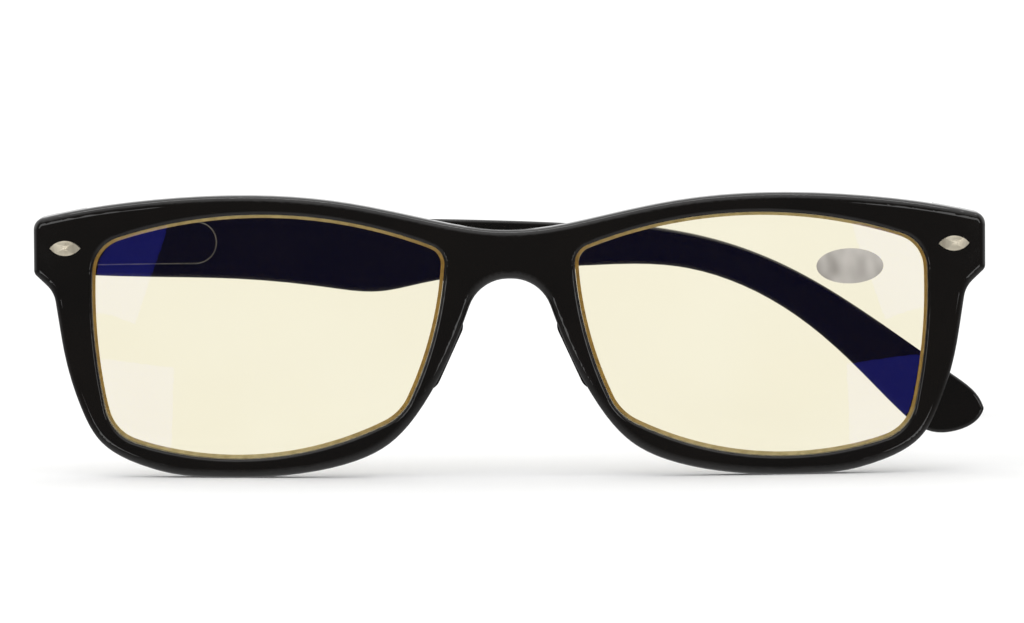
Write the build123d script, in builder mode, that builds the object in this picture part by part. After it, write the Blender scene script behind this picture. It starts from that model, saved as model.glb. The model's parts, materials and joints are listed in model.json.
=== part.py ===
from build123d import *
import os
from math import asin, cos, degrees, radians, sin

# Full-rim blue light glasses with spring-hinged temples, in millimetres.
# The front stands upright on its two rims and faces -Y; the wearer's left is +X.
# The origin lies under the middle of the bridge, level with the lowest point of the rims.

# ---- driving dimensions: the front ----
HALF_WIDTH = 70.0            # half of the front's width
FRONT_HEIGHT = 41.4          # from the rims' lowest point to the brow's crest
FRONT_RADIUS = 300.0         # plan curve of the front's forward face
RIM_DEPTH = 3.8              # front to back
BRIDGE_TOP = 36.2
ARCH_TOP = 29.1
LUG_TOP = 37.8
LUG_BOTTOM = 29.5
LUG_INNER = 62.4             # inner side of the thick end piece that carries the hinge
LUG_REAR = 17.0
FRONT_ROUND = 1.2            # rounding of the front's outer edge
OPENING_ROUND = 0.55         # rounding of the forward edge of the lens openings

PAD_LENGTH = 12.5            # moulded nose pads
PAD_WIDTH = 4.6
PAD_BASE = (10.8, 2.6, 18.6)
PAD_DEPTH = 6.2
PAD_ROUND = 1.6

# ---- driving dimensions: the lenses ----
LENS_BACK_RADIUS = 297.0     # measured from the same axis as FRONT_RADIUS
LENS_CURVE = 150.0           # forward surface
LENS_THICKNESS = 2.8         # at the middle
LENS_CENTRE_X = 36.0
LENS_CENTRE_Z = 20.7
BEVEL_OUTER = 298.2          # the lens's edge tongue lies between these two radii
BEVEL_INNER = 297.35
BEVEL_REACH = 0.6            # how far the tongue enters the rim
LENS_CHAMFER_WIDTH = 0.55    # ground facet round the hollow side, seen inside the rim
LENS_CHAMFER_DEPTH = 0.3
EDGE_GAP = 0.05              # clearance all round the lens

# ---- driving dimensions: the hinges, in a frame whose origin is the pin's middle ----
PIN_X = 65.0
PIN_Y = 15.0
PIN_Z = 33.65
PIN_TILT = 2.35              # the open temples slope down by this angle, to stand on their ends
REST_RIGHT = 91.2            # the right temple rests folded against the front
REST_LEFT = 0.0              # the left temple rests open
BARREL_RADIUS = 1.25
BARREL_HOLE = 0.65
SCREW_RADIUS = 0.6
KNUCKLE_HALF = 1.15          # half height of the moving knuckle
STACK_HALF = 2.9             # half height of all three knuckles
SCREW_HEAD_RADIUS = 1.0
SCREW_HEAD_DEPTH = 0.5
SCREW_SLOT = 0.3
BUTT_GAP = 0.15              # from the pin's plane to either butting face
LEAF_REAR = -1.7             # rear face of the fixed leaf
LEAF_THICKNESS = 0.9
LEAF_MIDDLE = -1.4
LEAF_WIDTH = 5.6
BUTT_INNER = 1.5             # the end piece butts the temple outboard of this line
INNER_FACE = 0.3             # inner face of the temple, outboard of the pin
OUTER_FACE = 4.8
SLIDE_X = 1.75               # the spring and its rod lie here, inside the temple
BLOCK_HALF = 0.85            # half width of the sliding block
CHAMBER_RADIUS = 0.95
ROD_END = 0.4
HOUSING_FRONT = 2.4
HOUSING_REAR = 20.0
HOUSING_HALF = 2.0
HOUSING_INNER = 0.45
HOUSING_OUTER = 3.05
SHOULDER_FRONT = 9.4
SHOULDER_REAR = 10.2
ROD_RADIUS = 0.5
NUT_FRONT = 15.8
NUT_REAR = 17.0
NUT_RADIUS = 0.85
COVER_REAR = 22.0
TEMPLE_REACH = 136.0
ARM_OUTER = 3.6              # outer face of the slender part of the arm
OUTER_ROUND = 1.0
INNER_ROUND = 0.5
COVER_HALF = 3.05
COVER_THICKNESS = 0.6
NOTCH_HALF = 3.2             # the temple's front end is cut back round the knuckles
NOTCH_OUTER = 1.6
NOTCH_REAR = 1.6
SPRING_RADIUS = 0.72
SPRING_WIRE = 0.125
SPRING_TURNS = 8
LEAF_CORNER = 0.8            # small roundings and breaks on the hinge pieces
BLOCK_CORNER = 0.5
HOUSING_CORNER = 1.2
HOUSING_WALL = 0.8           # left behind the rear chamber
COVER_ROUND = 0.2
EDGE_BREAK = 0.12
SCREW_ROUND = 0.08
SCREW_POINT = 0.2
SCREW_PROUD = 0.1
ROD_FIT = 0.01

# ---- driving dimensions: trim ----
RIVET_X = 65.3
RIVET_Z = 33.65
RIVET_LENGTH = 4.65
RIVET_HEIGHT = 2.2
RIVET_PROUD = 0.35
RIVET_SHANK = 0.7
RIVET_SINK = 0.6
RIVET_SHANK_LENGTH = 5.2
RIVET_MARGIN = 0.12          # dark gap round the rivet's head
RIVET_CROWN = 2.2            # the crown is rounded tightly across its height
RIVET_CROWN_LENGTHWAYS = 9.0
STICKER_X = 49.9
STICKER_Z = 30.5
STICKER_WIDTH = 9.9
STICKER_HEIGHT = 5.15
STICKER_THICKNESS = 0.15
STICKER_GAP = 0.01

SIDES = {"left": 1, "right": -1}
TALL = 60.0                  # longer than anything it cuts or is cut by
PLAN_CROP = 40.0             # keeps the forward end of a plan ring
CUT_SIZE = 20.0
os.makedirs("parts", exist_ok=True)


def write_node(name, piece, place=Location()):
    """Export one finished piece where it belongs on the glasses."""
    with BuildPart() as node:
        with Locations(place):
            add(piece)
    node.part.label = name
    export_step(node.part, f"parts/{name}.step")


def hinge_seat(side, fold):
    """Where a side's pin stands, with the temple turned in from open by the fold angle."""
    sign = SIDES[side]
    pin = Location((sign * PIN_X, PIN_Y, PIN_Z), (-PIN_TILT, 0, 0))
    return pin * Location((0, 0, 0), (0, 0, sign * fold))


def plan_depth(radius, x):
    """Y of a plan arc of this radius about the front's axis, at a distance x from the middle."""
    return FRONT_RADIUS - radius * cos(asin(x / radius))


def round_corners(sketch, corners):
    """Fillet the outline's vertices that stand at the given points, on both halves."""
    for x, z, radius in corners:
        for mirrored in (x, -x):
            corner = sketch.vertices().sort_by_distance((mirrored, z))[0]
            fillet(corner, radius)


# ---- outlines of the front ----
END_CORNER = (HALF_WIDTH, LUG_TOP)
LUG_CORNER = (HALF_WIDTH, 29.9)
UNDER_LUG = (67.1, 27.2)
RIM_FOOT = (40.0, 0.0)
ARCH_CORNER = (4.5, ARCH_TOP)

with BuildSketch(Plane.XZ) as front_outline:
    with BuildLine():
        Spline((0, BRIDGE_TOP), (12, 37.85), (24, 40.3), (40, FRONT_HEIGHT), (56, 40.35), END_CORNER,
               tangents=((1, 0), (0.97, -0.24)))
        Polyline(END_CORNER, LUG_CORNER, UNDER_LUG)
        Spline(UNDER_LUG, (65.55, 18), (63.1, 10), (60.1, 5), (53.2, 1.42), RIM_FOOT,
               tangents=((-0.2, -1), (-1, 0)))
        Spline(RIM_FOOT, (30, 0.72), (24, 2.03), (18, 4.8), (13.2, 10), (8.8, 17.9), ARCH_CORNER,
               tangents=((-1, 0), (-0.36, 1)))
        Line(ARCH_CORNER, (0, ARCH_TOP))
        mirror(about=Plane.YZ)
    make_face()
    round_corners(front_outline, [(*END_CORNER, 1.8), (*LUG_CORNER, 1.2), (*UNDER_LUG, 4.0),
                                  (*ARCH_CORNER, 6.0)])

BROW_OUTER = (61.1, 33.95)
CHEEK_OUTER = (58.6, 6.3)
CHEEK_INNER = (15.8, 9.1)
BROW_INNER = (9.4, 33.2)

LENS_SIDES = (ThreePointArc(BROW_INNER, (37, 38.6), BROW_OUTER),
              ThreePointArc(BROW_OUTER, (61.1, 20.5), CHEEK_OUTER),
              ThreePointArc(CHEEK_OUTER, (39.8, 2.75), CHEEK_INNER),
              ThreePointArc(CHEEK_INNER, (11.2, 20.8), BROW_INNER))
LENS_CORNERS = ((BROW_OUTER, 5.5), (CHEEK_OUTER, 6.5), (CHEEK_INNER, 8.0), (BROW_INNER, 3.0))


def lens_shape(grow=0.0):
    """The left lens opening, seen from the front: four bowed sides and round corners, grown all round."""
    with BuildSketch() as shape:
        for number, side in enumerate(LENS_SIDES):
            with Locations(Location(side.arc_center, (0, 0, 180))):
                Circle(side.radius + grow, mode=Mode.INTERSECT if number else Mode.ADD)
        for point, radius in LENS_CORNERS:
            fillet(shape.vertices().sort_by_distance(point)[0], radius + grow)
    return shape.sketch


with BuildSketch(Plane.XZ) as lens_outline:
    add(lens_shape())

# ---- a moulded nose pad, which grows out of the rim's back ----
with BuildPart() as nose_pad:
    with BuildSketch(Plane(PAD_BASE, x_dir=(0.42, 0, -0.9), z_dir=(0.12, 1, 0))):
        SlotOverall(PAD_LENGTH, PAD_WIDTH)
    extrude(amount=PAD_DEPTH, taper=4)
    fillet(nose_pad.faces().sort_by(Axis.Y)[-1].edges(), PAD_ROUND)

# ---- the marquise-headed rivet that shows on each end piece ----
rivet_lean = degrees(asin(RIVET_X / FRONT_RADIUS))
rivet_seat = Plane((RIVET_X, plan_depth(FRONT_RADIUS, RIVET_X), RIVET_Z),
                   x_dir=(cos(radians(rivet_lean)), sin(radians(rivet_lean)), 0),
                   z_dir=(sin(radians(rivet_lean)), -cos(radians(rivet_lean)), 0))


def marquise(length, height, gap=0.0):
    """A pointed oval of two arcs, grown by a gap all round."""
    half_length = length / 2 + gap
    half_height = height / 2 + gap
    with BuildSketch() as oval:
        with BuildLine():
            ThreePointArc((-half_length, 0), (0, half_height), (half_length, 0))
            ThreePointArc((half_length, 0), (0, -half_height), (-half_length, 0))
        make_face()
    return oval.sketch


with BuildPart() as rivet:
    with BuildSketch(rivet_seat.offset(-RIVET_SINK)):
        add(marquise(RIVET_LENGTH, RIVET_HEIGHT))
    extrude(amount=RIVET_SINK + RIVET_PROUD)
    crown_axis = rivet_seat.offset(RIVET_PROUD - RIVET_CROWN).location
    with Locations(crown_axis * Location((0, 0, 0), (0, 90, 0))):
        Cylinder(RIVET_CROWN, 2 * RIVET_LENGTH, mode=Mode.INTERSECT)
    with Locations(rivet_seat.offset(RIVET_PROUD - RIVET_CROWN_LENGTHWAYS).location):
        Sphere(RIVET_CROWN_LENGTHWAYS, mode=Mode.INTERSECT)
    with BuildSketch(rivet_seat.offset(-RIVET_SINK)):
        Circle(RIVET_SHANK)
    extrude(amount=-RIVET_SHANK_LENGTH)

with BuildPart() as rivet_hole:
    with BuildSketch(rivet_seat.offset(-RIVET_SINK - EDGE_GAP)):
        add(marquise(RIVET_LENGTH, RIVET_HEIGHT, RIVET_MARGIN))
    extrude(amount=RIVET_SHANK_LENGTH)
    with BuildSketch(rivet_seat):
        Circle(RIVET_SHANK + EDGE_GAP)
    extrude(amount=-2 * RIVET_SHANK_LENGTH)

# ---- the fixed hinge leaf: a plate with two knuckles (hinge frame, left side) ----
with BuildPart() as front_leaf:
    with BuildSketch(Plane.XY):
        with Locations((LEAF_MIDDLE, LEAF_REAR - LEAF_THICKNESS / 2)):
            Rectangle(LEAF_WIDTH, LEAF_THICKNESS)
    extrude(amount=STACK_HALF, both=True)
    fillet(front_leaf.edges().filter_by(Axis.Y), LEAF_CORNER)
    with BuildSketch(Plane.XY):
        Circle(BARREL_RADIUS)
        with Locations((0, LEAF_REAR / 2)):
            Rectangle(2 * BARREL_RADIUS, -LEAF_REAR)
    extrude(amount=STACK_HALF, both=True)
    with BuildSketch(Plane.XY):
        with Locations((0, LEAF_REAR)):
            Rectangle(4 * BARREL_RADIUS, 4 * BARREL_RADIUS, align=(Align.CENTER, Align.MIN))
    extrude(amount=KNUCKLE_HALF + EDGE_GAP, both=True, mode=Mode.SUBTRACT)
    Hole(BARREL_HOLE)
    with Locations((0, 0, STACK_HALF)):
        CounterBoreHole(BARREL_HOLE, SCREW_HEAD_RADIUS + EDGE_GAP, SCREW_HEAD_DEPTH)
    add(rivet_hole.part.moved(hinge_seat("left", 0).inverse()), mode=Mode.SUBTRACT)

# ---- the hinge screw: slotted head, plain shank ----
with BuildPart() as hinge_screw:
    with BuildSketch(Plane.XY.offset(-STACK_HALF)):
        Circle(SCREW_RADIUS)
    extrude(amount=2 * STACK_HALF - SCREW_HEAD_DEPTH)
    with BuildSketch(Plane.XY.offset(STACK_HALF - SCREW_HEAD_DEPTH)):
        Circle(SCREW_HEAD_RADIUS)
    extrude(amount=SCREW_HEAD_DEPTH + SCREW_PROUD)
    fillet(hinge_screw.faces().sort_by(Axis.Z)[-1].edges(), SCREW_ROUND)
    chamfer(hinge_screw.faces().sort_by(Axis.Z)[0].edges(), SCREW_POINT)
    with BuildSketch(Plane.XY.offset(STACK_HALF + SCREW_PROUD)):
        Rectangle(3 * SCREW_HEAD_RADIUS, SCREW_SLOT)
    extrude(amount=-SCREW_HEAD_DEPTH / 2, mode=Mode.SUBTRACT)

# ---- the sliding knuckle: barrel, block and rod in one ----
with BuildPart() as hinge_slider:
    with BuildSketch(Plane.XY):
        Circle(BARREL_RADIUS)
        with Locations((SLIDE_X - BLOCK_HALF, 0)):
            Rectangle(2 * BLOCK_HALF, SHOULDER_FRONT - EDGE_GAP, align=(Align.MIN, Align.MIN))
        Circle(BARREL_HOLE, mode=Mode.SUBTRACT)
    extrude(amount=KNUCKLE_HALF, both=True)
    block_edges = hinge_slider.edges().filter_by(Axis.Z)
    fillet(block_edges.sort_by_distance((SLIDE_X + BLOCK_HALF, 0, 0))[0], BLOCK_CORNER)
    with BuildSketch(Plane.XZ.offset(-(SHOULDER_FRONT - EDGE_GAP))):
        with Locations((SLIDE_X, 0)):
            Circle(ROD_RADIUS)
    extrude(amount=-(NUT_REAR + ROD_END - SHOULDER_FRONT))
    chamfer(hinge_slider.faces().sort_by(Axis.Y)[-1].edges(), EDGE_BREAK)

# ---- the collar at the rod's rear end, which the spring pushes on ----
with BuildPart() as slider_collar:
    with BuildSketch(Plane.XZ.offset(-NUT_FRONT)):
        with Locations((SLIDE_X, 0)):
            Circle(NUT_RADIUS)
            Circle(ROD_RADIUS + ROD_FIT, mode=Mode.SUBTRACT)
    extrude(amount=-(NUT_REAR - NUT_FRONT))
    chamfer(slider_collar.edges().filter_by(GeomType.CIRCLE).sort_by(SortBy.RADIUS)[-2:], EDGE_BREAK)

# ---- the coil spring round the rod ----
spring_room = NUT_FRONT - SHOULDER_REAR - 2 * SPRING_WIRE - 2 * EDGE_GAP
with BuildPart() as hinge_spring:
    spring_start = SHOULDER_REAR + SPRING_WIRE + EDGE_GAP
    with BuildLine() as coil:
        Helix(spring_room / SPRING_TURNS, spring_room, SPRING_RADIUS,
              center=(SLIDE_X, spring_start, 0), direction=(0, 1, 0))
    with BuildSketch(Plane(coil.line @ 0, z_dir=coil.line % 0)):
        Circle(SPRING_WIRE)
    sweep(path=coil.line, is_frenet=True)

# ---- the housing let into the temple, with a chamber each side of its shoulder ----
with BuildPart() as hinge_housing:
    with BuildSketch(Plane.XZ.offset(-HOUSING_FRONT)):
        with Locations(((HOUSING_INNER + HOUSING_OUTER) / 2, 0)):
            Rectangle(HOUSING_OUTER - HOUSING_INNER, 2 * HOUSING_HALF)
    extrude(amount=-(HOUSING_REAR - HOUSING_FRONT))
    fillet(hinge_housing.edges().filter_by(Axis.X).group_by(Axis.Y)[-1], HOUSING_CORNER)
    with BuildSketch(Plane.XZ.offset(-HOUSING_FRONT)):
        with Locations((SLIDE_X, 0)):
            Rectangle(2 * (BLOCK_HALF + EDGE_GAP), 2 * (KNUCKLE_HALF + EDGE_GAP))
    extrude(amount=-(SHOULDER_FRONT - HOUSING_FRONT), mode=Mode.SUBTRACT)
    with BuildSketch(Plane.XZ.offset(-SHOULDER_FRONT)):
        with Locations((SLIDE_X, 0)):
            Circle(ROD_RADIUS + EDGE_GAP)
    extrude(amount=-(SHOULDER_REAR - SHOULDER_FRONT), mode=Mode.SUBTRACT)
    with BuildSketch(Plane.XZ.offset(-SHOULDER_REAR)):
        with Locations((SLIDE_X, 0)):
            Circle(CHAMBER_RADIUS)
    extrude(amount=-(HOUSING_REAR - HOUSING_WALL - SHOULDER_REAR), mode=Mode.SUBTRACT)

# ---- the oblong cover over the housing, on the temple's inner face ----
with BuildSketch(Plane.YZ) as cover_outline:
    with BuildLine():
        cover_bend = COVER_REAR - COVER_HALF
        Line((HOUSING_FRONT, -COVER_HALF), (cover_bend, -COVER_HALF))
        RadiusArc((cover_bend, -COVER_HALF), (cover_bend, COVER_HALF), -COVER_HALF)
        Polyline((cover_bend, COVER_HALF), (HOUSING_FRONT, COVER_HALF), (HOUSING_FRONT, -COVER_HALF))
    make_face()

with BuildPart() as hinge_cover:
    with BuildSketch(Plane.YZ.offset(HOUSING_INNER)):
        add(cover_outline.sketch_local)
    extrude(amount=-COVER_THICKNESS)
    fillet(hinge_cover.faces().sort_by(Axis.X)[0].edges(), COVER_ROUND)

# ---- the temple: straight arm with a swell, then the bend behind the ear ----
TIP_POINT = (134.9, -24.7)
TIP_ROUND = 0.7
with BuildSketch(Plane.YZ) as temple_outline:
    with BuildLine():
        Spline((BUTT_GAP, 4.0), (35, 3.9), (67, 3.3), (84.5, 2.0), (96, -0.2), (106, -4.0), (119, -11.8),
               (130.6, -19.9), (134.1, -23.0), TIP_POINT)
        Spline(TIP_POINT, (134.2, -26.1), (130.9, -28.0), (127, -28.1), (122.6, -25.2), (116.3, -18.9),
               (108.5, -12.0), (100, -6.9), (90, -3.9), (79, -3.6), (58, -5.1), (51.5, -6.1), (45.5, -7.2),
               (38, -6.6), (27, -5.4), (10, -4.8), (BUTT_GAP, -4.3))
        Line((BUTT_GAP, -4.3), (BUTT_GAP, 4.0))
    make_face()
    fillet(temple_outline.vertices().sort_by_distance(TIP_POINT)[0], TIP_ROUND)

SIDE_BEND = (OUTER_FACE, 6.0)
with BuildPart() as temple:
    with BuildSketch(Plane.XY):
        with BuildLine():
            Polyline((INNER_FACE, TEMPLE_REACH), (INNER_FACE, BUTT_GAP), (OUTER_FACE, BUTT_GAP),
                     SIDE_BEND)
            Spline(SIDE_BEND, (4.2, 35), (ARM_OUTER, 75), (ARM_OUTER, TEMPLE_REACH))
            Line((ARM_OUTER, TEMPLE_REACH), (INNER_FACE, TEMPLE_REACH))
        make_face()
    extrude(amount=TALL, both=True)
    extrude(temple_outline.sketch, amount=TALL, both=True, mode=Mode.INTERSECT)
    long_edges = temple.edges().filter_by(lambda edge: edge.center().Y > 1)
    fillet(long_edges.filter_by(lambda edge: edge.center().X > ARM_OUTER - 0.5), OUTER_ROUND)
    long_edges = temple.edges().filter_by(lambda edge: edge.center().Y > 1)
    fillet(long_edges.filter_by(lambda edge: edge.center().X < INNER_FACE + 0.1), INNER_ROUND)
    # room for the knuckles and the sliding block
    with BuildSketch(Plane.XY):
        Rectangle(NOTCH_OUTER, NOTCH_REAR, align=Align.MIN)
    extrude(amount=NOTCH_HALF, both=True, mode=Mode.SUBTRACT)
    with BuildSketch(Plane.XY):
        Rectangle(SLIDE_X + BLOCK_HALF + 2 * EDGE_GAP, HOUSING_FRONT, align=Align.MIN)
    extrude(amount=KNUCKLE_HALF + 2 * EDGE_GAP, both=True, mode=Mode.SUBTRACT)
    # the pocket for the housing, and the shallow seat of its cover
    with BuildSketch(Plane.XY):
        with Locations((0, HOUSING_FRONT)):
            Rectangle(HOUSING_OUTER + EDGE_GAP, HOUSING_REAR + EDGE_GAP - HOUSING_FRONT,
                      align=Align.MIN)
    extrude(amount=HOUSING_HALF + EDGE_GAP, both=True, mode=Mode.SUBTRACT)
    with BuildSketch(Plane.YZ):
        offset(cover_outline.sketch_local, EDGE_GAP)
        with Locations((HOUSING_FRONT, 0)):
            Rectangle(2, 2 * (COVER_HALF + EDGE_GAP))
    extrude(amount=HOUSING_INNER, mode=Mode.SUBTRACT)

# ---- a lens: domed in front, hollow behind, with a tongue round its edge ----
lens_lean = asin(LENS_CENTRE_X / LENS_BACK_RADIUS)
dome_reach = LENS_BACK_RADIUS + LENS_THICKNESS - LENS_CURVE
dome_centre = (dome_reach * sin(lens_lean), FRONT_RADIUS - dome_reach * cos(lens_lean), LENS_CENTRE_Z)

with BuildPart() as lens_tongue:
    with BuildSketch(Plane.XZ):
        add(lens_shape(BEVEL_REACH))
    extrude(amount=TALL, both=True)
    with BuildSketch(Plane.XY):
        with Locations((0, FRONT_RADIUS)):
            Circle(BEVEL_OUTER)
            Circle(BEVEL_INNER, mode=Mode.SUBTRACT)
        Rectangle(2 * HALF_WIDTH, PLAN_CROP, mode=Mode.INTERSECT)
    extrude(amount=TALL, mode=Mode.INTERSECT)

with BuildPart() as lens_body:
    with BuildSketch(Plane.XZ):
        add(lens_shape(-EDGE_GAP))
    extrude(amount=TALL, both=True)
    with Locations(dome_centre):
        Sphere(LENS_CURVE, mode=Mode.INTERSECT)
    with Locations((0, FRONT_RADIUS, 0)):
        Cylinder(LENS_BACK_RADIUS, 4 * TALL, mode=Mode.SUBTRACT)
    hollow_face = lens_body.faces().filter_by(GeomType.CYLINDER).sort_by(SortBy.AREA)[-1]
    hollow_rim = hollow_face.outer_wire().edges()
    chamfer(hollow_rim, LENS_CHAMFER_WIDTH, LENS_CHAMFER_DEPTH, reference=hollow_face)

with BuildPart() as lens:
    add(lens_body.part)
    add(lens_tongue.part)

# ---- the strength sticker: a thin oval on the left lens ----
with BuildPart() as lens_sticker:
    with BuildSketch(Plane.XZ):
        with Locations((STICKER_X, STICKER_Z)):
            Ellipse(STICKER_WIDTH / 2, STICKER_HEIGHT / 2)
    extrude(amount=TALL, both=True)
    with Locations(dome_centre):
        Sphere(LENS_CURVE + STICKER_THICKNESS, mode=Mode.INTERSECT)
        Sphere(LENS_CURVE + STICKER_GAP, mode=Mode.SUBTRACT)
    with Locations((0, FRONT_RADIUS, 0)):
        Cylinder(LENS_BACK_RADIUS, 4 * TALL, mode=Mode.SUBTRACT)

# ---- the front: one moulding with rims, bridge, nose pads and end pieces ----
left_seat = Plane(hinge_seat("left", 0))
with BuildPart() as lug_cut:
    with BuildSketch(left_seat):
        with Locations((BUTT_INNER, -BUTT_GAP)):
            Rectangle(CUT_SIZE, CUT_SIZE, align=Align.MIN)
        with Locations((BUTT_INNER, LEAF_REAR)):
            Rectangle(CUT_SIZE, CUT_SIZE, align=(Align.MAX, Align.MIN))
        with Locations((LEAF_MIDDLE, LEAF_REAR)):
            Rectangle(LEAF_WIDTH + 2 * EDGE_GAP, 2 * (LEAF_THICKNESS + EDGE_GAP))
    extrude(amount=STACK_HALF + EDGE_GAP, both=True)
    with BuildSketch(left_seat):
        with Locations((BUTT_INNER, -BUTT_GAP)):
            Rectangle(CUT_SIZE, CUT_SIZE, align=Align.MIN)
        with Locations((BUTT_INNER, LEAF_REAR)):
            Rectangle(CUT_SIZE, CUT_SIZE, align=(Align.MAX, Align.MIN))
    extrude(amount=TALL, both=True)

with BuildPart() as front_frame:
    with BuildSketch(Plane.XY):
        with Locations((0, FRONT_RADIUS)):
            Circle(FRONT_RADIUS)
            Circle(FRONT_RADIUS - RIM_DEPTH, mode=Mode.SUBTRACT)
        Rectangle(2 * HALF_WIDTH, PLAN_CROP, mode=Mode.INTERSECT)
    extrude(amount=TALL)
    with BuildSketch(Plane.XY.offset(LUG_BOTTOM)):
        with BuildLine():
            start = (LUG_INNER, plan_depth(FRONT_RADIUS - RIM_DEPTH / 2, LUG_INNER))
            outer = (HALF_WIDTH, plan_depth(FRONT_RADIUS - RIM_DEPTH / 2, HALF_WIDTH))
            Polyline(start, outer, (HALF_WIDTH, LUG_REAR), (LUG_INNER, LUG_REAR), close=True)
        make_face()
        mirror(about=Plane.YZ)
    extrude(amount=TALL)
    extrude(front_outline.sketch, amount=TALL, both=True, mode=Mode.INTERSECT)
    front_face = front_frame.faces().filter_by(GeomType.CYLINDER).sort_by(Axis.Y)[0]
    fillet(front_face.edges(), FRONT_ROUND)
    add(nose_pad.part)
    mirror(nose_pad.part, about=Plane.YZ)
    for cut in (lug_cut.part, rivet_hole.part):
        add(cut, mode=Mode.SUBTRACT)
        mirror(cut, about=Plane.YZ, mode=Mode.SUBTRACT)
    # the two lens openings
    extrude(lens_outline.sketch, amount=TALL, both=True, mode=Mode.SUBTRACT)
    extrude(mirror(lens_outline.sketch, about=Plane.YZ, mode=Mode.PRIVATE), amount=TALL, both=True,
            mode=Mode.SUBTRACT)
    front_face = front_frame.faces().filter_by(GeomType.CYLINDER).sort_by(Axis.Y)[0]
    for opening in front_face.inner_wires().sort_by(SortBy.LENGTH)[-2:]:
        fillet(opening.edges(), OPENING_ROUND)

# ---- the groove that holds a lens ----
with BuildPart() as lens_groove:
    with BuildSketch(Plane.XZ):
        add(lens_shape(BEVEL_REACH + EDGE_GAP))
    extrude(amount=TALL, both=True)
    with BuildSketch(Plane.XY):
        with Locations((0, FRONT_RADIUS)):
            Circle(BEVEL_OUTER + EDGE_GAP)
            Circle(BEVEL_INNER - EDGE_GAP, mode=Mode.SUBTRACT)
        Rectangle(2 * HALF_WIDTH, PLAN_CROP, mode=Mode.INTERSECT)
    extrude(amount=TALL, mode=Mode.INTERSECT)

with BuildPart() as grooved_front:
    add(front_frame.part)
    add(lens_groove.part, mode=Mode.SUBTRACT)
    mirror(lens_groove.part, about=Plane.YZ, mode=Mode.SUBTRACT)

# ---- write every piece ----
write_node("front_frame", grooved_front.part)
write_node("lens_left", lens.part)
write_node("lens_right", mirror(lens.part, about=Plane.YZ))
write_node("lens_sticker", lens_sticker.part)
write_node("front_rivet_left", rivet.part)
write_node("front_rivet_right", mirror(rivet.part, about=Plane.YZ))

FIXED_PIECES = {"front_leaf": front_leaf, "hinge_screw": hinge_screw}
TURNING_PIECES = {"hinge_slider": hinge_slider, "slider_collar": slider_collar,
                  "hinge_spring": hinge_spring, "hinge_housing": hinge_housing,
                  "hinge_cover": hinge_cover, "temple": temple}
for side, rest in (("left", REST_LEFT), ("right", REST_RIGHT)):
    for pieces, fold in ((FIXED_PIECES, 0), (TURNING_PIECES, rest)):
        for name, piece in pieces.items():
            handed = piece.part if side == "left" else mirror(piece.part, about=Plane.YZ)
            write_node(f"{name}_{side}", handed, hinge_seat(side, fold))
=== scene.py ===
import bpy
import json
import math
from mathutils import Matrix, Vector


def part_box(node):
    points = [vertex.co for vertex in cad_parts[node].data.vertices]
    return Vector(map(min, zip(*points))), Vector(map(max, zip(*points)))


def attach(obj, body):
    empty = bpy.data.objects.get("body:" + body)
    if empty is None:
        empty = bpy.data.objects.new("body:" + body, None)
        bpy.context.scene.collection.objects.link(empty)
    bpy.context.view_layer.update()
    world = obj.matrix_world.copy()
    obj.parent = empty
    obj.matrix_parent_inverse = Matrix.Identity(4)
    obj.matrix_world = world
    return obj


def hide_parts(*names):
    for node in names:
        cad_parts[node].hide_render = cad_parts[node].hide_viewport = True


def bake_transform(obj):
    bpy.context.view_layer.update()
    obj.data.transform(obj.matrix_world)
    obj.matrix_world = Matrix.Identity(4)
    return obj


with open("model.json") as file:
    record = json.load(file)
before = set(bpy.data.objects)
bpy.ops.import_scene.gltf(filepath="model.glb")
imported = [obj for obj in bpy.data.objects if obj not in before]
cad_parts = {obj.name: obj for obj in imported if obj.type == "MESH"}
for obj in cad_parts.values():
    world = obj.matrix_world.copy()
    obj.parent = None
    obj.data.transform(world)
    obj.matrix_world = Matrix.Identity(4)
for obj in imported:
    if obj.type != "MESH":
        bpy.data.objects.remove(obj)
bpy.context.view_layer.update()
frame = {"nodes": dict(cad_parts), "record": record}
NODES = frame["nodes"]
SIDES = ("left", "right")

# ---- the camera: square to the front, a little above it ----
FRONT_SHARE = 0.9336                 # how much of the picture's width the front fills
CAMERA_DISTANCE = 1.2
CAMERA_ELEVATION = math.radians(3.0)
CAMERA_ROLL = math.radians(0.35)
AIM = Vector((0.0003, 0.003, 0.0242))
SENSOR = 36.0
CLIP_NEAR, CLIP_FAR = 0.01, 50

# ---- colours, linear ----
WHITE = (1.0, 1.0, 1.0, 1)
FRAME_BLACK = (0.0018, 0.0013, 0.0010, 1)
FRAME_BROWN = (0.0036, 0.0025, 0.0018, 1)
# painted highlight: the pale greys painted on the hinge covers' rounded edges
EDGE_HIGHLIGHT_DARK = (0.10, 0.098, 0.09, 1)
EDGE_HIGHLIGHT_PALE = (0.20, 0.195, 0.18, 1)
LENS_TINT = (0.805, 0.770, 0.660, 1)
LENS_TINT_DEEP = (0.795, 0.755, 0.635, 1)
LENS_SHADOW = (0.95, 0.92, 0.78, 1)
COATING_BLUE = (0.06, 0.07, 1.0, 1)
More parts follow.
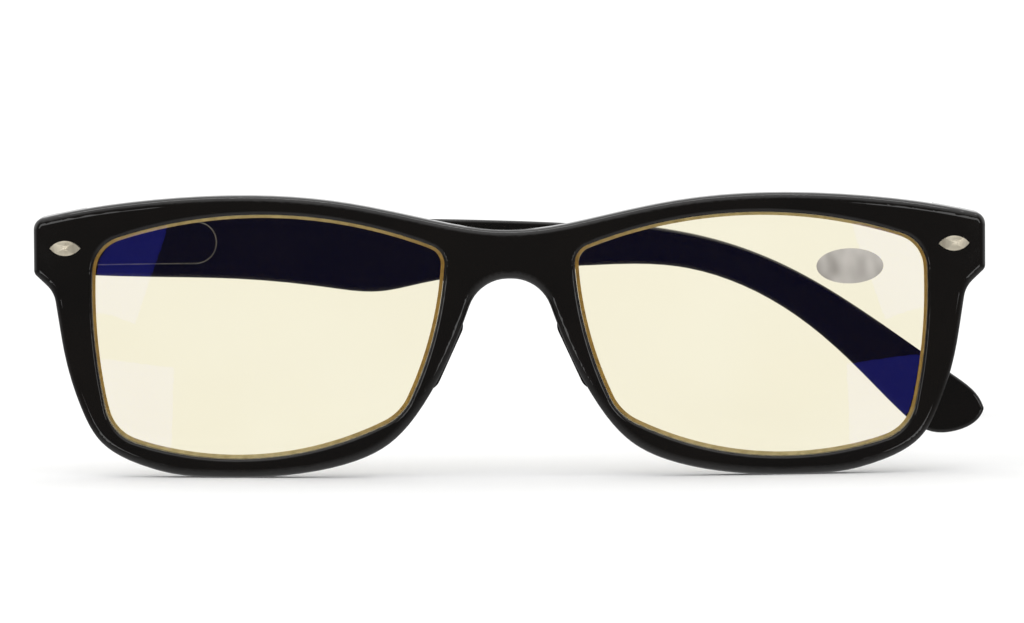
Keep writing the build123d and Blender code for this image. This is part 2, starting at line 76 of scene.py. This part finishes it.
# the lens facet's colour by height: painted highlight at its top and foot, painted shade honey brown at the
# sides
FACET_COLOUR_AND_PAINTED_LIGHT = ((0.0, (1.0, 0.92, 0.70, 1)), (0.22, (0.66, 0.44, 0.14, 1)),
               (0.80, (0.58, 0.36, 0.10, 1)), (1.0, (0.92, 0.78, 0.46, 1)))
FACET_SCORED = (0.70, 0.66, 0.58, 1)
STICKER_STAIN = (0.27, 0.25, 0.225, 1)
STICKER_MILKY = (0.52, 0.49, 0.45, 1)
RIVET_DARK, RIVET_LIGHT = (0.76, 0.68, 0.52, 1), (0.95, 0.88, 0.71, 1)
NICKEL_DARK, NICKEL_LIGHT = (0.42, 0.40, 0.37, 1), (0.62, 0.60, 0.56, 1)
STEEL_DARK, STEEL_LIGHT = (0.40, 0.40, 0.40, 1), (0.60, 0.60, 0.61, 1)
FLOOR_DARK, FLOOR_LIGHT = (0.93, 0.93, 0.925, 1), (0.95, 0.95, 0.945, 1)

# ---- the ground facet of a lens, which faces the wearer just inside the rim ----
FRONT_AXIS_Y = 0.300                 # axis of the front's plan curve
FACET_NEAR, FACET_FAR = 0.29695, 0.29742     # the facet lies between these distances from the axis
FACET_START = 0.29728                # a face that starts further out than this is the lens's edge
LEVEL_FACE = 0.00002                 # a face that spans less than this is the lens's hollow side
FACET_LOW, FACET_HIGH = 0.002, 0.039         # the heights between which its tones and painted light run
FACET_GLOW = 0.16                    # stands in for the light that the lens pipes to its edge

# ---- the rounded edge of a hinge cover, with a painted highlight ----
ACROSS, ALONG = 0.06, 0.985          # its faces lean between these cosines off the cover's flat
SKIN_LIFT = 0.00001                  # how far a copied face stands off the one under it

# ---- textures ----
TEXTURE_LOW, TEXTURE_HIGH = 0.3, 0.7         # the part of a noise's span that carries its contrast
FINE_RELIEF = 0.00005

# ---- the studio ----
FLOOR_HALF = 14.0
FLOOR_LIFT = 0.22                    # how far the light on matt surfaces exceeds the white that shows

# what the gloss mirrors: a dim room in front, and for each other part of the room its brightness at the
# start and end of a span of directions, given as the forward or upward share of the direction
DIM_FRONT = 0.12
BEHIND = (0.0, 1.0, -0.50, 0.30)
RISE = (0.13, 1.0, -0.22, 0.20)
ABOVE = (0.0, 0.95, 0.45, 0.95)
BELOW = (0.45, 0.0, -0.90, -0.15)

# the softboxes: one strip overhead, and an upper and a lower box in front on either hand
BOX_AIM = (0, 0.03, 0.02)
STRIP_PLACE = (0.0, 0.05, 0.8)
SIDE_BOX_OUT, SIDE_BOX_AHEAD, SIDE_BOX_WIDTH = 0.86, 1.12, 0.42
SIDE_BOXES = (("upper", 0.30, 0.55, 1.25, 18), ("lower", -0.32, 0.40, 0.9, 8))   # level, height, power, turn


class Nodes:
    """A small helper that builds one node tree and joins its last node to the output."""

    def __init__(self, owner, output):
        owner.use_nodes = True
        self.tree = owner.node_tree
        self.tree.nodes.clear()
        self.output = self.add(output)

    def add(self, kind, **settings):
        node = self.tree.nodes.new("ShaderNode" + kind)
        for key, value in settings.items():
            setattr(node, key, value)
        return node

    def join(self, source, target):
        self.tree.links.new(source, target)

    def feed(self, value, socket):
        """Set a socket to a number, or join it to another node's output."""
        if isinstance(value, (int, float)):
            socket.default_value = value
        else:
            self.join(value, socket)

    def principled(self, **values):
        node = self.add("BsdfPrincipled")
        for key, value in values.items():
            node.inputs[key.replace("_", " ")].default_value = value
        return node

    def noise(self, scale, detail=4.0, roughness=0.5, stretch=None):
        """Noise on the object's own coordinates, so it stays put on the part."""
        where = self.add("TexCoord").outputs["Object"]
        if stretch:
            mapping = self.add("Mapping")
            mapping.inputs["Scale"].default_value = stretch
            self.join(where, mapping.inputs["Vector"])
            where = mapping.outputs["Vector"]
        node = self.add("TexNoise")
        node.inputs["Scale"].default_value = scale
        node.inputs["Detail"].default_value = detail
        node.inputs["Roughness"].default_value = roughness
        self.join(where, node.inputs["Vector"])
        return node.outputs["Fac"]

    def ranged(self, source, low, high, floor=TEXTURE_LOW, ceiling=TEXTURE_HIGH, smooth=False):
        """Carry the span from floor to ceiling over to the span from low to high."""
        node = self.add("MapRange", interpolation_type="SMOOTHSTEP" if smooth else "LINEAR")
        node.inputs["From Min"].default_value = floor
        node.inputs["From Max"].default_value = ceiling
        node.inputs["To Min"].default_value = low
        node.inputs["To Max"].default_value = high
        self.join(source, node.inputs["Value"])
        return node.outputs["Result"]

    def toned(self, source, tones):
        """A colour looked up along a ramp, given as places and colours."""
        node = self.add("ValToRGB")
        ramp = node.color_ramp.elements
        ramp[0].position, ramp[0].color = tones[0]
        ramp[1].position, ramp[1].color = tones[-1]
        for place, colour in tones[1:-1]:
            ramp.new(place).color = colour
        self.join(source, node.inputs["Fac"])
        return node.outputs["Color"]

    def blended(self, source, first, second):
        """A colour between two, by a grey texture."""
        return self.toned(source, ((TEXTURE_LOW, first), (TEXTURE_HIGH, second)))

    def bump(self, source, strength, distance):
        node = self.add("Bump")
        node.inputs["Strength"].default_value = strength
        node.inputs["Distance"].default_value = distance
        self.join(source, node.inputs["Height"])
        return node.outputs["Normal"]

    def math(self, operation, first, second):
        node = self.add("Math", operation=operation)
        self.feed(first, node.inputs[0])
        self.feed(second, node.inputs[1])
        return node.outputs[0]

    def mixed(self, factor, first, second):
        """One shader or another, by a factor."""
        node = self.add("MixShader")
        self.join(factor, node.inputs["Fac"])
        self.join(first.outputs[0], node.inputs[1])
        self.join(second.outputs[0], node.inputs[2])
        return node

    def finish(self, shader):
        self.join(shader.outputs[0], self.output.inputs["Surface"])


def new_material(name):
    material = bpy.data.materials.new(name)
    return material, Nodes(material, "OutputMaterial")


def frame_plastic():
    """High-gloss black injection moulding: slow waves in the skin, faint wiping marks in the gloss."""
    material, n = new_material("frame_plastic")
    skin = n.principled(IOR=1.46, Coat_Weight=0.3, Coat_Roughness=0.02)
    n.join(n.blended(n.noise(60, 3), FRAME_BLACK, FRAME_BROWN), skin.inputs["Base Color"])
    n.join(n.ranged(n.noise(240, 5, 0.6), 0.03, 0.085), skin.inputs["Roughness"])
    n.join(n.bump(n.noise(70, 2), 0.02, 0.0003), skin.inputs["Normal"])
    n.finish(skin)
    return material


def lens_resin():
    """Pale yellow resin with a blue coating; lamps shine through it."""
    material, n = new_material("lens_resin")
    resin = n.principled(IOR=1.5, Transmission_Weight=1.0, Specular_IOR_Level=1.0, Specular_Tint=COATING_BLUE)
    n.join(n.blended(n.noise(45, 2), LENS_TINT, LENS_TINT_DEEP), resin.inputs["Base Color"])
    n.join(n.ranged(n.noise(400, 4), 0.0, 0.02, 0.5, 0.9), resin.inputs["Roughness"])
    clear = n.add("BsdfTransparent")
    clear.inputs["Color"].default_value = LENS_SHADOW
    n.finish(n.mixed(n.add("LightPath").outputs["Is Shadow Ray"], resin, clear))
    return material


def lens_bevel():
    """The lens's ground facet: matt, honey brown at the sides and paler at its top and foot, a change by
    height that is painted light and shade, with the ridges that the grinding wheel leaves; it glows in the
    same colours."""
    material, n = new_material("lens_bevel")
    facet = n.principled(IOR=1.5, Roughness=0.55, Emission_Strength=FACET_GLOW)
    wear = n.noise(900, 4, 0.6)
    height = n.add("SeparateXYZ")
    n.join(n.add("TexCoord").outputs["Object"], height.inputs[0])
    level = n.ranged(height.outputs["Z"], 0.0, 1.0, FACET_LOW, FACET_HIGH)
    ridges_and_painted_light = n.add("Mix", data_type="RGBA", blend_type="MULTIPLY")
    ridges_and_painted_light.inputs["Factor"].default_value = 1.0
    # painted light and shade by height, multiplied by the grinding ridges; the glow takes the same colour
    n.join(n.toned(level, FACET_COLOUR_AND_PAINTED_LIGHT), ridges_and_painted_light.inputs["A"])
    n.join(n.blended(wear, FACET_SCORED, WHITE), ridges_and_painted_light.inputs["B"])
    n.join(ridges_and_painted_light.outputs["Result"], facet.inputs["Base Color"])
    n.join(ridges_and_painted_light.outputs["Result"], facet.inputs["Emission Color"])
    n.join(n.bump(wear, 0.4, 0.0001), facet.inputs["Normal"])
    n.finish(facet)
    return material


def painted_cover_highlight():
    """The frame's plastic along a rounded edge: dull, and painted pale as a highlight."""
    material, n = new_material("painted_cover_highlight")
    edge = n.principled(IOR=1.46, Roughness=0.4)
    n.join(n.blended(n.noise(500, 4), EDGE_HIGHLIGHT_DARK, EDGE_HIGHLIGHT_PALE), edge.inputs["Base Color"])
    n.finish(edge)
    return material


def sticker_film():
    """Milky adhesive film with a soft mottled stain and no print."""
    material, n = new_material("sticker_film")
    film = n.principled(Roughness=0.35, IOR=1.45, Alpha=0.95)
    stain = n.noise(330, 1, stretch=(1, 1, 0.6))
    n.join(n.blended(stain, STICKER_STAIN, STICKER_MILKY), film.inputs["Base Color"])
    n.join(n.bump(n.noise(900, 3), 0.1, FINE_RELIEF), film.inputs["Normal"])
    n.finish(film)
    return material


def metal(name, dark, light, gloss, grain_shape, relief, metallic=1.0):
    """Polished or brushed metal: fine drawn scratches in the gloss, colour and relief."""
    material, n = new_material(name)
    surface = n.principled(Metallic=metallic)
    grain = n.noise(700, 5, 0.65, stretch=grain_shape)
    n.join(n.blended(grain, dark, light), surface.inputs["Base Color"])
    n.join(n.ranged(grain, *gloss), surface.inputs["Roughness"])
    n.join(n.bump(grain, relief, FINE_RELIEF), surface.inputs["Normal"])
    n.finish(surface)
    return material


def floor_pale():
    """Matt pale floor, which is not there for what the gloss mirrors."""
    material, n = new_material("floor_pale")
    matt = n.principled(Roughness=0.9, Specular_IOR_Level=0.0)
    n.join(n.blended(n.noise(30, 3), FLOOR_DARK, FLOOR_LIGHT), matt.inputs["Base Color"])
    n.finish(n.mixed(n.add("LightPath").outputs["Glossy Depth"], matt, n.add("BsdfTransparent")))
    return material


def placed(name, data):
    """A new object in the scene."""
    obj = bpy.data.objects.new(name, data)
    bpy.context.scene.collection.objects.link(obj)
    return obj


def skin_of(mesh, polygons, name, material):
    """A piece made of some of a mesh's faces, lifted a hair off it."""
    points, faces, used = [], [], {}
    for polygon in polygons:
        for i in polygon.vertices:
            if i not in used:
                used[i] = len(points)
                points.append(mesh.vertices[i].co + polygon.normal * SKIN_LIFT)
        faces.append([used[i] for i in polygon.vertices])
    skin_mesh = bpy.data.meshes.new(name)
    skin_mesh.from_pydata(points, [], faces)
    skin_mesh.materials.append(material)
    return placed(name, skin_mesh)


def ground_facet(lens):
    """The faces of a lens that belong to its ground facet."""
    chosen = []
    for polygon in lens.polygons:
        corners = [lens.vertices[i].co for i in polygon.vertices]
        reach = [math.hypot(corner.x, corner.y - FRONT_AXIS_Y) for corner in corners]
        within = FACET_NEAR <= min(reach) <= FACET_START and max(reach) <= FACET_FAR
        if within and max(reach) - min(reach) >= LEVEL_FACE:
            chosen.append(polygon)
    return chosen


def rounded_edge(cover):
    """The faces of a hinge cover that belong to the rounding of its edge."""
    flat = max(cover.polygons, key=lambda polygon: polygon.area).normal
    return [polygon for polygon in cover.polygons if ACROSS < abs(polygon.normal.dot(flat)) < ALONG]


def coil_spring(side, along):
    """A copy of the CAD coil spring, which takes the CAD piece's place; its two ends along the rod are found
    but not used.
    """
    node = "hinge_spring_" + side
    coil = placed("coil_spring_" + side, NODES[node].data.copy())
    low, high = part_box(node)
    front_end, rear_end = (low + high) / 2, (low + high) / 2
    front_end[along] = low[along]
    rear_end[along] = high[along]
    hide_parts(node)
    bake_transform(coil)


def floor():
    corners = [(-FLOOR_HALF, -FLOOR_HALF, 0), (FLOOR_HALF, -FLOOR_HALF, 0),
               (FLOOR_HALF, FLOOR_HALF, 0), (-FLOOR_HALF, FLOOR_HALF, 0)]
    mesh = bpy.data.meshes.new("floor")
    mesh.from_pydata(corners, [], [(0, 1, 2, 3)])
    mesh.materials.append(floor_pale())
    ground = placed("floor", mesh)
    ground.visible_glossy = False


def studio():
    """White all round, but what the gloss mirrors is dim in front and bright above and behind."""
    world = bpy.data.worlds.new("studio")
    bpy.context.scene.world = world
    world.cycles.sampling_method = "NONE"
    n = Nodes(world, "OutputWorld")
    split = n.add("SeparateXYZ")
    n.join(n.add("TexCoord").outputs["Generated"], split.inputs[0])
    forward, up = split.outputs["Y"], split.outputs["Z"]
    behind = n.ranged(forward, *BEHIND, smooth=True)
    rise = n.ranged(up, *RISE, smooth=True)
    above = n.ranged(up, *ABOVE, smooth=True)
    below = n.ranged(up, *BELOW, smooth=True)
    room = n.math("MAXIMUM", n.math("MULTIPLY", behind, rise), n.math("ADD", above, below))
    mirrored = n.math("ADD", room, DIM_FRONT)
    path = n.add("LightPath")
    reflected = n.math("SUBTRACT", path.outputs["Glossy Depth"], path.outputs["Diffuse Depth"])
    seen = n.add("Mix", data_type="FLOAT", clamp_factor=True)
    n.join(reflected, seen.inputs["Factor"])
    seen.inputs["A"].default_value = 1.0
    n.join(mirrored, seen.inputs["B"])
    lift = n.math("ADD", 1.0, n.math("MULTIPLY", path.outputs["Is Diffuse Ray"], FLOOR_LIFT))
    background = n.add("Background")
    background.inputs["Color"].default_value = WHITE
    n.join(n.math("MULTIPLY", seen.outputs["Result"], lift), background.inputs["Strength"])
    n.finish(background)


def softbox(name, place, width, height, power, turn=0.0):
    """A lamp that shows only in gloss, turned by some degrees about its own axis."""
    lamp = bpy.data.lights.new(name, "AREA")
    lamp.shape = "RECTANGLE"
    lamp.size = width
    lamp.size_y = height
    lamp.energy = power
    obj = placed(name, lamp)
    obj.location = place
    obj.rotation_mode = "QUATERNION"
    facing = (Vector(BOX_AIM) - Vector(place)).to_track_quat("-Z", "Y")
    obj.rotation_quaternion = facing @ Matrix.Rotation(math.radians(turn), 3, "Z").to_quaternion()
    obj.visible_diffuse = False


def camera():
    data = bpy.data.cameras.new("camera")
    obj = placed("camera", data)
    front_low, front_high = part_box("front_frame")
    picture_width = (front_high.x - front_low.x) / FRONT_SHARE
    data.sensor_width = SENSOR
    data.lens = SENSOR * CAMERA_DISTANCE / picture_width
    data.clip_start = CLIP_NEAR
    data.clip_end = CLIP_FAR
    back = Vector((0, -math.cos(CAMERA_ELEVATION), math.sin(CAMERA_ELEVATION)))
    obj.location = AIM + back * CAMERA_DISTANCE
    obj.rotation_mode = "QUATERNION"
    roll = Matrix.Rotation(-CAMERA_ROLL, 3, "Z").to_quaternion()
    obj.rotation_quaternion = (-back).to_track_quat("-Z", "Y") @ roll
    bpy.context.scene.camera = obj


# ---- the CAD pieces' materials, by the record's slots ----
MATERIALS = {
    "frame_plastic": frame_plastic(),
    "lens_resin": lens_resin(),
    "sticker_film": sticker_film(),
    "rivet_silver": metal("rivet_silver", RIVET_DARK, RIVET_LIGHT, (0.26, 0.42), (1, 1, 0.2), 0.15, 0.8),
    "hinge_nickel": metal("hinge_nickel", NICKEL_DARK, NICKEL_LIGHT, (0.24, 0.42), (0.1, 1, 1), 0.25),
    "screw_steel": metal("screw_steel", STEEL_DARK, STEEL_LIGHT, (0.18, 0.34), (1, 0.2, 1), 0.2),
}
for part in frame["record"]["subparts"]:
    mesh = NODES[part["node"]].data
    mesh.materials.clear()
    mesh.materials.append(MATERIALS[part["material_slot"]])

# ---- the pieces that Blender adds ----
X_AXIS, Y_AXIS = 0, 1
coil_spring("left", along=Y_AXIS)    # the left temple rests open, the right one folded
coil_spring("right", along=X_AXIS)

BEVEL = lens_bevel()
for side in SIDES:
    lens = NODES["lens_" + side].data
    ring = skin_of(lens, ground_facet(lens), "lens_bevel_" + side, BEVEL)
    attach(ring, "front")

# a painted highlight: a pale skin over the rounded edge of each hinge cover
PAINTED_COVER_HIGHLIGHT = painted_cover_highlight()
for side in SIDES:
    cover = NODES["hinge_cover_" + side].data
    edge = skin_of(cover, rounded_edge(cover), "painted_cover_highlight_" + side, PAINTED_COVER_HIGHLIGHT)
    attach(edge, "arm_" + side)

# ---- the stage ----
floor()
studio()
softbox("top_strip", STRIP_PLACE, width=0.9, height=0.10, power=0.9)
for hand, sign in (("left", -1), ("right", 1)):      # as the camera sees them
    for row, level, height, power, turn in SIDE_BOXES:
        spot = (sign * SIDE_BOX_OUT, -SIDE_BOX_AHEAD, level)
        softbox(f"{hand}_{row}", spot, SIDE_BOX_WIDTH, height, power, turn=sign * turn)
camera()
bpy.context.scene.view_settings.view_transform = "Standard"
